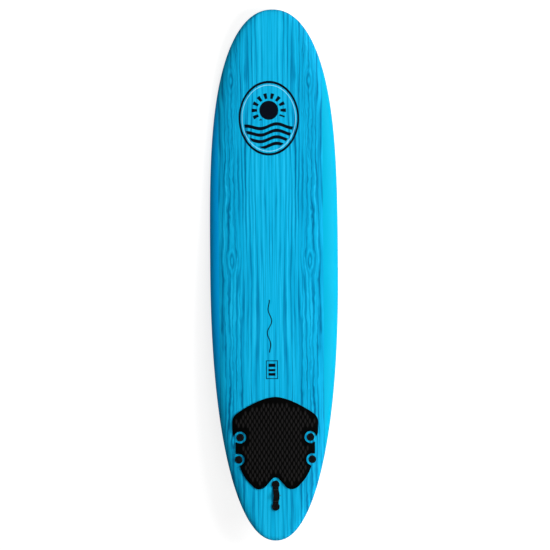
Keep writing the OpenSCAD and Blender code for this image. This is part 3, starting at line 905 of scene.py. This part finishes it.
def sheet_faces(loop, points):
    """Triangles that fill a loop, through extra points; those come after the loop's own."""
    n = len(loop)
    flat = [Vector(p) for p in np.vstack([loop, points])]
    edges = [(k, (k + 1) % n) for k in range(n)]
    out = delaunay_2d_cdt(flat, edges, [], 1, 1e-5, True)
    known = np.array(flat)
    source = [
        ids[0] if ids else int(np.argmin(np.linalg.norm(known - np.array(place), axis=1)))
        for place, ids in zip(out[0], out[3])
    ]
    found = [tuple(source[v] for v in face) for face in out[2]]
    middles = np.array([known[list(face)].mean(axis=0) for face in found])
    within = inside(middles, loop)
    return [face for face, kept in zip(found, within) if kept and len(set(face)) == 3]


def lenses(loop):
    """Middles of the raised lenses that stay clear of the border."""
    found = []
    for row in range(LENS_ROWS):
        y = FIRST_LENS_Y + row * LENS_PITCH[1] * 0.5
        for column in range(-LENS_COLUMNS, LENS_COLUMNS + 1):
            x = (column + 0.5 * (row % 2)) * LENS_PITCH[0]
            rim = [(x + LENS[0] * a, y + LENS[1] * b) for a, b in ((0, 1), (0, -1), (1, 0), (-1, 0))]
            gap = min(np.linalg.norm(loop - np.array(p), axis=1).min() for p in rim)
            if inside(rim, loop).all() and gap > LENS_BORDER:
                found.append((x, y))
    return found


def lens_points(middle):
    """Points of one raised lens as (x, y, height), from its rim to its top."""
    points = [(*middle, LENS_HEIGHT)]
    for share, height in LENS_PROFILE:
        for k in range(LENS_STEPS):
            a = 2 * math.pi * k / LENS_STEPS
            narrow = abs(math.cos(a)) ** 1.25 * math.copysign(1, math.cos(a))
            points.append(
                (
                    middle[0] + LENS[0] * share * narrow,
                    middle[1] + LENS[1] * share * math.sin(a),
                    LENS_HEIGHT * height,
                )
            )
    return points


def mark_crests(mesh):
    """Stores how far each point stands up into the lenses, 0 to 1, for the material's painted highlight on
    the lens tops.
    """
    places = np.empty(len(mesh.vertices) * 3)
    mesh.vertices.foreach_get("co", places)
    x, y, z = ((places.reshape(-1, 3) - np.array(ORIGIN)) @ AXES.T * 1000).T
    crest = (z - deck_height(x, y) - PAD_LIFT - PAD_THICKNESS) / LENS_HEIGHT
    mesh.attributes.new("crest", "FLOAT", "POINT").data.foreach_set("value", np.clip(crest, 0, 1))


def make_pad():
    loop = pad_outline()
    n = len(loop)
    points = [(*p, height) for depth, height in PAD_EDGE for p in inset(loop, depth)]
    faces = wall_faces(len(PAD_EDGE), n)
    rim = inset(loop, PAD_EDGE[-1][0])
    raised = np.array([p for middle in lenses(loop) for p in lens_points(middle)])
    grid_x, grid_y = np.meshgrid(np.arange(-180, 181, PAD_GRID), np.arange(220, PAD_FRONT, PAD_GRID))
    grid = np.column_stack([grid_x.ravel(), grid_y.ravel()])
    clear = inside(grid, inset(loop, GRID_FROM_EDGE))
    from_lens = np.array([np.linalg.norm(raised[:, :2] - g, axis=1).min() for g in grid])
    top_grid = grid[clear & (from_lens >= GRID_FROM_LENS)]
    top_points = np.vstack([raised[:, :2], top_grid])
    heights = np.concatenate([raised[:, 2], np.zeros(len(top_grid))]) + PAD_THICKNESS
    first = (len(PAD_EDGE) - 1) * n
    start = len(points)
    points += [(*p, h) for p, h in zip(top_points, heights)]
    for face in sheet_faces(rim, top_points):
        faces.append(tuple(first + v if v < n else start + v - n for v in face))
    start = len(points)
    points += [(*p, 0) for p in grid[clear]]
    for face in sheet_faces(loop, grid[clear]):
        faces.append(tuple(v if v < n else start + v - n for v in face[::-1]))
    points = np.array(points)
    points[:, 2] += PAD_LIFT + deck_height(points[:, 0], points[:, 1])
    pad = mesh_object("pad", points, faces, 50)
    mark_crests(pad.data)
    return finish_piece(pad, "pad_foam", "board", "traction_pad")


# ---- leash strap
STRAP_WIDTH = 25
STRAP_EDGE = 0.9
# How far the slack stands sideways and up.
STRAP_BOW = 4
STRAP_ARCH = 13
# How far the round ends reach past the bolts, and their radius.
STRAP_TAB = 14.5
STRAP_END_RADIUS = 15.5
STRAP_CLEARANCE = 1
STRAP_STATIONS = 110


def strap_line(y):
    """Sideways place and height of the webbing's underside at a distance from the tail."""
    rear, front = post_at("center", -1), post_at("center", 1)
    clear = WASHER_RADIUS + STRAP_CLEARANCE
    u = np.clip((y - rear[1] - clear) / (front[1] - rear[1] - 2 * clear), 0, 1)
    rise = (1 - np.cos(2 * math.pi * u)) / 2
    base = strap_z(*rear) * (1 - u) + strap_z(*front) * u
    return STRAP_BOW * rise, base + STRAP_ARCH * rise


def make_strap():
    rear, front = post_at("center", -1)[1], post_at("center", 1)[1]
    y = np.linspace(rear - STRAP_TAB, front + STRAP_TAB, STRAP_STATIONS)
    x, z = strap_line(y)
    slope = np.gradient(z, y)
    normal = np.column_stack([-slope, np.ones_like(slope)])
    normal /= np.linalg.norm(normal, axis=1)[:, None]
    half = STRAP_WIDTH / 2
    flat = half - STRAP_EDGE
    section = []
    for to_side, top in ((1, STRAP_THICKNESS), (-1, 0)):
        for a in np.radians(np.linspace(-90, 90, 9) + (0 if to_side > 0 else 180)):
            across = to_side * flat + STRAP_EDGE * math.cos(a)
            section.append((across, STRAP_THICKNESS / 2 * (1 + math.sin(a))))
        section += [(share * flat, top) for share in np.linspace(to_side, -to_side, 13)[1:-1]]
    points = []
    past_bolt = np.maximum(rear - y, y - front)
    narrow = np.sqrt(STRAP_END_RADIUS**2 - np.clip(past_bolt, 0, STRAP_TAB) ** 2)
    narrow = np.minimum(1, narrow / half)
    for k in range(len(y)):
        for across, lift in section:
            place = (x[k] + across * narrow[k], y[k] + lift * normal[k, 0], z[k] + lift * normal[k, 1])
            points.append(place)
    strap = mesh_object("strap", points, solid_faces(len(y), len(section)), 50)
    for end in ENDS.values():
        profile = [(0, 0), (SHANK_HOLE, 0), (SHANK_HOLE, CUT_TO), (0, CUT_TO)]
        hole = lathe("strap_hole", profile, (*post_at("center", end), 0), 48)
        combine(strap, hole, "DIFFERENCE", 50)
    length = float(np.hypot(np.diff(y), np.diff(z)).sum()) / 1000
    return finish_piece(strap, "webbing", "board", "leash_strap"), length


# Bar tacks: distance from the bolt, stitches, half sizes across and along, thread.
TACK_FROM_BOLT = 23.5
TACK_STITCHES = 22
TACK_HALF = (9.5, 1.9)
THREAD_LIFT = 0.12
THREAD_RADIUS = 0.28
# The loose thread end beside the webbing's bow.
THREAD_END_Y = 194.5
THREAD_END_FROM = 11.5
THREAD_END_LENGTH = 7
THREAD_END_SWAY = 1.6
THREAD_END_DROP = 1.6
THREAD_END_RADIUS = 0.7


def make_stitches():
    """Bar tacks across the webbing beside the washers, and the tail of their thread."""
    pieces = []
    for end_name in ("rear", "front"):
        end = ENDS[end_name]
        t = np.linspace(0, 1, 121)
        zig = np.abs((t * TACK_STITCHES) % 2 - 1) * 2 - 1
        y = post_at("center", end)[1] - end * TACK_FROM_BOLT + zig * TACK_HALF[1]
        x, z = strap_line(y)
        path = np.column_stack([x + (t * 2 - 1) * TACK_HALF[0], y, z + STRAP_THICKNESS + THREAD_LIFT])
        pieces.append(tube(f"bar_tack_{end_name}", path, THREAD_RADIUS, 6))
    t = np.linspace(0, 1, 25)
    y = THREAD_END_Y + THREAD_END_SWAY * np.sin(t * 3.1)
    x, z = strap_line(np.array([THREAD_END_Y]))
    x = x + THREAD_END_FROM + t * THREAD_END_LENGTH
    z = z + STRAP_THICKNESS - 0.2 - THREAD_END_DROP * t**2
    pieces.append(tube("thread_tail", np.column_stack([x, y, z]), THREAD_END_RADIUS, 8))
    for piece in pieces:
        finish_piece(piece, "thread", "board")


# ---- washers, screws
# Radii of the cup's wall, of the washer's rolled rim and of the lip between the two.
CUP_RADIUS = 11.6
RIM_ROUND = 1.6
LIP_ROUND = 1
HEAD_RADIUS = 11
HEAD_HEIGHT = 2.4
HEAD_ROUND = 0.8
# Coin slot: half sizes along and across, height of its floor.
COIN_SLOT = (8, 1.1)
COIN_FLOOR = 1.0
SHANK_LENGTH = 37.5
SHANK_RADIUS = 4.0
SHANK_STEPS = 40
SHANK_LEVELS_PER_MM = 3.2
# The shank reaches this far up into the head.
SHANK_BITE = 0.5
NECK_LENGTH = 9.0
THREAD_ROOT = 3.25
THREAD_PITCH = 3.0
THREAD_RUNOUT = 1.5


def corner(r, h, radius, first, last, count):
    """Rounded corner of a profile, about (r, h) between two angles in degrees."""
    turns = np.radians(np.linspace(first, last, count))
    return [(r + radius * math.cos(a), h + radius * math.sin(a)) for a in turns]


def make_washer(side, end_name, end, at):
    cup, floor = CUP_RADIUS, WASHER_FLOOR
    profile = [(SHANK_HOLE, 0.25), (SHANK_HOLE + 0.25, 0), (WASHER_RADIUS - 0.3, 0), (WASHER_RADIUS, 0.3)]
    profile += corner(WASHER_RADIUS - RIM_ROUND, WASHER_HEIGHT - RIM_ROUND, RIM_ROUND, 0, 90, 9)
    profile += corner(cup + LIP_ROUND, WASHER_HEIGHT - LIP_ROUND, LIP_ROUND, 90, 180, 7)
    profile += [(cup, floor + 0.5), (cup - 0.15, floor + 0.15), (cup - 0.5, floor)]
    profile += [(SHANK_HOLE + 0.3, floor), (SHANK_HOLE, floor - 0.3)]
    washer = lathe(f"cup_washer_{side}_{end_name}", profile, (*at, washer_z(side, end)), 96, 40)
    node = f"washer_{side}_{end_name}"
    return finish_piece(washer, "washer_plastic", node, node)


def threaded_shank(at, top):
    """Shank with a plain neck and a right-hand thread below it."""
    levels = int(SHANK_LENGTH * SHANK_LEVELS_PER_MM)
    points = []
    for i in range(levels + 1):
        h = -SHANK_LENGTH * i / levels
        ease = min(1, max(0, (-h - NECK_LENGTH) / THREAD_RUNOUT))
        ease *= min(1, (SHANK_LENGTH + h) / THREAD_RUNOUT)
        plain = SHANK_RADIUS if -h < NECK_LENGTH + 1 else THREAD_ROOT
        for k in range(SHANK_STEPS):
            a = 2 * math.pi * k / SHANK_STEPS
            phase = (h / THREAD_PITCH - k / SHANK_STEPS) % 1
            crest = min(1, max(0, 1.6 - abs(phase - 0.5) * 5))
            threaded = THREAD_ROOT + (SHANK_RADIUS - THREAD_ROOT) * crest
            r = plain * (1 - ease) + threaded * ease
            points.append((at[0] + r * math.cos(a), at[1] + r * math.sin(a), top + h))
    return mesh_object("shank", points, solid_faces(levels + 1, SHANK_STEPS), 40)


def make_screw(side, end_name, end, at):
    seat = washer_z(side, end) + WASHER_FLOOR + HEAD_GAP
    profile = [(0, 0.01), (HEAD_RADIUS - 0.2, 0.01), (HEAD_RADIUS, 0.2), (HEAD_RADIUS, 1.55)]
    profile += corner(HEAD_RADIUS - HEAD_ROUND, HEAD_HEIGHT - HEAD_ROUND, HEAD_ROUND, 0, 90, 7)
    profile.append((0, HEAD_HEIGHT))
    node = f"screw_{side}_{end_name}"
    screw = lathe(f"coin_{node}", profile, (*at, seat), 96, 40)
    box_points = [
        (at[0] + sx * COIN_SLOT[0], at[1] + sy * COIN_SLOT[1], seat + h)
        for h in (COIN_FLOOR, COIN_FLOOR + 3)
        for sx in (-1, 1)
        for sy in (-1, 1)
    ]
    box_faces = [(0, 1, 3, 2), (4, 6, 7, 5), (0, 4, 5, 1), (2, 3, 7, 6), (0, 2, 6, 4), (1, 5, 7, 3)]
    combine(screw, mesh_object("slot", box_points, box_faces, 30), "DIFFERENCE", 40)
    combine(screw, threaded_shank(at, seat + SHANK_BITE), "UNION", 40)
    return finish_piece(screw, "screw_plastic", node, node)


# ---- fins
FIN_DEPTH = 112
FIN_BASE = 124
FIN_RAKE = 62
FIN_THICKNESS = 8
# Exponents of the rake and the chord, and the tip's loss of thickness.
RAKE_CURVE = 1.3
CHORD_CURVE = 1.9
CHORD_ROUNDNESS = 0.55
TIP_THINNING = 0.65
LAST_LEVEL = 0.999
BLADE_LEVELS = 56
BLADE_STEPS = 30
# Thickness of the blade's edges, and the length over which they are rounded.
BLADE_EDGE = 1.2
BLADE_ROUND = 0.8
# Heights of the blade's upper end, inside the flange.
BLADE_ROOT = (-1.5, -1.6)
FLANGE_HALF_FLAT = 50
FLANGE_RADIUS = 14
FLANGE_STEPS = 64
FLANGE_EDGE = ((0, 0), (0, -2.0), (0.3, -2.6), (0.9, -3))
POST_RADIUS = 7
POST_CHAMFER = 0.6
# How far the posts reach down into the flange, and how far their tops lie below the washers.
POST_BITE = 1.8
POST_DROP = 20
BORE_RADIUS = 4.1
BORE_DEPTH = 16.5


def placed(side, points, lean=1):
    """From a fin's own frame to the board frame: lean, follow the bottom, toe in, place."""
    x, y, toe, cant = FIN_PLACES[side]
    share = (FLAT_BACK - y) / FLAT_BACK
    slope = -math.atan(TAIL_ROCKER * TAIL_CURVE * share ** (TAIL_CURVE - 1) / FLAT_BACK)
    turn = (
        Matrix.Rotation(math.radians(toe), 3, "Z")
        @ Matrix.Rotation(slope, 3, "X")
        @ Matrix.Rotation(math.radians(-cant * lean), 3, "Y")
    )
    base = (x, y, float(bottom_height(y)) - FREE_GAP)
    return np.asarray(points, float) @ np.array(turn).T + base


def blade(side):
    """Raked foil, with its top two rings inside the flange."""
    levels = np.sin(np.radians(np.linspace(0, 90, BLADE_LEVELS))) * LAST_LEVEL
    rows = []
    for h in np.concatenate([[0], levels]):
        chord = FIN_BASE * (1 - h**CHORD_CURVE) ** CHORD_ROUNDNESS
        middle = -FIN_RAKE * h**RAKE_CURVE
        thick = BLADE_EDGE + (FIN_THICKNESS - BLADE_EDGE) * (1 - TIP_THINNING * h)
        row = []
        for k in range(2 * BLADE_STEPS):
            s = (1 - math.cos(math.pi * k / BLADE_STEPS)) / 2
            from_edge = min(s, 1 - s) * chord
            blunt = math.sqrt(max(0, 1 - (1 - min(1, from_edge / BLADE_ROUND)) ** 2))
            width = (BLADE_EDGE + (thick - BLADE_EDGE) * 4 * s * (1 - s)) / 2 * blunt
            face = 1 if k <= BLADE_STEPS else -1
            row.append((face * width, middle + chord * (0.5 - s), -FIN_DEPTH * h))
        rows.append(row)
    for level, z in enumerate(BLADE_ROOT):
        rows[level] = [(x, y, z) for x, y, _ in rows[level]]
    points = [p for row in rows for p in row]
    faces = solid_faces(len(rows), 2 * BLADE_STEPS)
    return mesh_object(f"fin_{side}_blade", placed(side, points), faces, 50)


def flange(side):
    """Base flange with round ends and a rolled lower edge."""
    points = []
    for depth, z in FLANGE_EDGE:
        radius = FLANGE_RADIUS - depth
        for k in range(FLANGE_STEPS):
            a = 2 * math.pi * (k + 0.5) / FLANGE_STEPS
            end = math.copysign(FLANGE_HALF_FLAT, math.sin(a))
            points.append((radius * math.cos(a), end + radius * math.sin(a), z))
    faces = solid_faces(len(FLANGE_EDGE), FLANGE_STEPS)
    return mesh_object(f"fin_{side}_flange", placed(side, points, lean=0), faces, 35)


def make_fin(side):
    fin = blade(side)
    combine(fin, flange(side), "UNION", 40)
    for end in ENDS.values():
        x, y = post_at(side, end)
        low = float(bottom_height(y)) - POST_BITE
        high = washer_z(side, end) - POST_DROP
        profile = [(0, low), (POST_RADIUS, low), (POST_RADIUS, high - POST_CHAMFER)]
        profile += [(POST_RADIUS - POST_CHAMFER, high), (0, high)]
        combine(fin, lathe("post", profile, (x, y, 0), 64), "UNION", 40)
        deep, past = high - BORE_DEPTH, high + CUT_PAST
        bore = [(0, deep), (BORE_RADIUS, deep), (BORE_RADIUS, past), (0, past)]
        combine(fin, lathe("bore", bore, (x, y, 0), 48), "DIFFERENCE", 40)
    fin.name = f"moulded_fin_{side}"
    return finish_piece(fin, "fin_plastic", f"fin_{side}", f"fin_{side}")


# ---- assembly
make_deck()
make_bottom()
pad = make_pad()
strap, strap_length = make_strap()
make_stitches()
for side, end_name, end, at in BOLTS:
    make_washer(side, end_name, end, at)
    make_screw(side, end_name, end, at)
for side in FIN_PLACES:
    make_fin(side)

slot_of = {p["node"]: p["material_slot"] for p in record["subparts"]}
for name, node in frame["nodes"].items():
    for material_slot in node.material_slots:
        material_slot.material = materials[slot_of[name]]

# ---- floor and view
FLOOR_HALF = 9
PAPER_GLOW = 0.8
floor_mesh = bpy.data.meshes.new("floor")
floor_corners = [(FLOOR_HALF * x, FLOOR_HALF * y, 0) for x, y in ((-1, -1), (1, -1), (1, 1), (-1, 1))]
floor_mesh.from_pydata(floor_corners, [], [(0, 1, 2, 3)])
floor = bpy.data.objects.new("floor", floor_mesh)
scene.collection.objects.link(floor)
paper = Shader("paper", roughness=0.9, specular=0.1)
paper.colour(linear(176, 176, 176))
paper.put(paper.bsdf.inputs["Emission Color"], linear(255, 255, 255))
paper_seen = Value(paper, paper.node("LightPath").outputs["Is Camera Ray"])
paper.put(paper.bsdf.inputs["Emission Strength"], paper_seen * PAPER_GLOW)
floor_mesh.materials.append(paper.material)

PHOTO_MM_PER_PIXEL = 4.31
PHOTO_PIXELS = 550
VIEW_DISTANCE = 20.0
VIEW_ROLL = math.radians(0.42)
SENSOR_MM = 36
view_middle = Vector(to_row([(3.6, 1144.9, 60)])[0])
camera_data = bpy.data.cameras.new("camera")
camera_data.sensor_width = SENSOR_MM
camera_data.lens = SENSOR_MM * VIEW_DISTANCE / (PHOTO_PIXELS * PHOTO_MM_PER_PIXEL / 1000)
camera_data.clip_start = 0.1
camera_data.clip_end = 100
camera = bpy.data.objects.new("camera", camera_data)
scene.collection.objects.link(camera)
upwards = FORWARD * math.cos(VIEW_ROLL) + RIGHT * math.sin(VIEW_ROLL)
sideways = upwards.cross(UP)
camera.matrix_world = Matrix.Translation(view_middle + UP * VIEW_DISTANCE) @ Matrix(
    (sideways, upwards, UP)
).transposed().to_4x4()
scene.camera = camera


def softbox(name, place, size, power):
    """Area light that faces the middle of the board."""
    data = bpy.data.lights.new(name, "AREA")
    data.shape = "RECTANGLE"
    data.size, data.size_y = size
    data.energy = power
    light = bpy.data.objects.new(name, data)
    light.location = place
    light.rotation_euler = Vector(place).to_track_quat("Z", "Y").to_euler()
    scene.collection.objects.link(light)


# Light from all round; the camera itself sees the backdrop as white.
AMBIENT = 0.14
softbox("key", (3.4, 0.2, 2.7), (1.8, 3.2), 206)
softbox("nose_fill", (0.9, 3.2, 3.2), (2.0, 1.6), 46)
softbox("tail_fill", (0.9, -3.2, 3.2), (2.0, 1.6), 28)
world = bpy.data.worlds.new("studio")
world.use_nodes = True
backdrop = world.node_tree.nodes["Background"]
backdrop.inputs["Color"].default_value = (1, 1, 1, 1)
world_seen = world.node_tree.nodes.new("ShaderNodeLightPath").outputs["Is Camera Ray"]
strength = world.node_tree.nodes.new("ShaderNodeMapRange")
strength.inputs["To Min"].default_value = AMBIENT
strength.inputs["To Max"].default_value = 1
world.node_tree.links.new(world_seen, strength.inputs["Value"])
world.node_tree.links.new(strength.outputs[0], backdrop.inputs["Strength"])
scene.world = world
scene.view_settings.view_transform = "Standard"
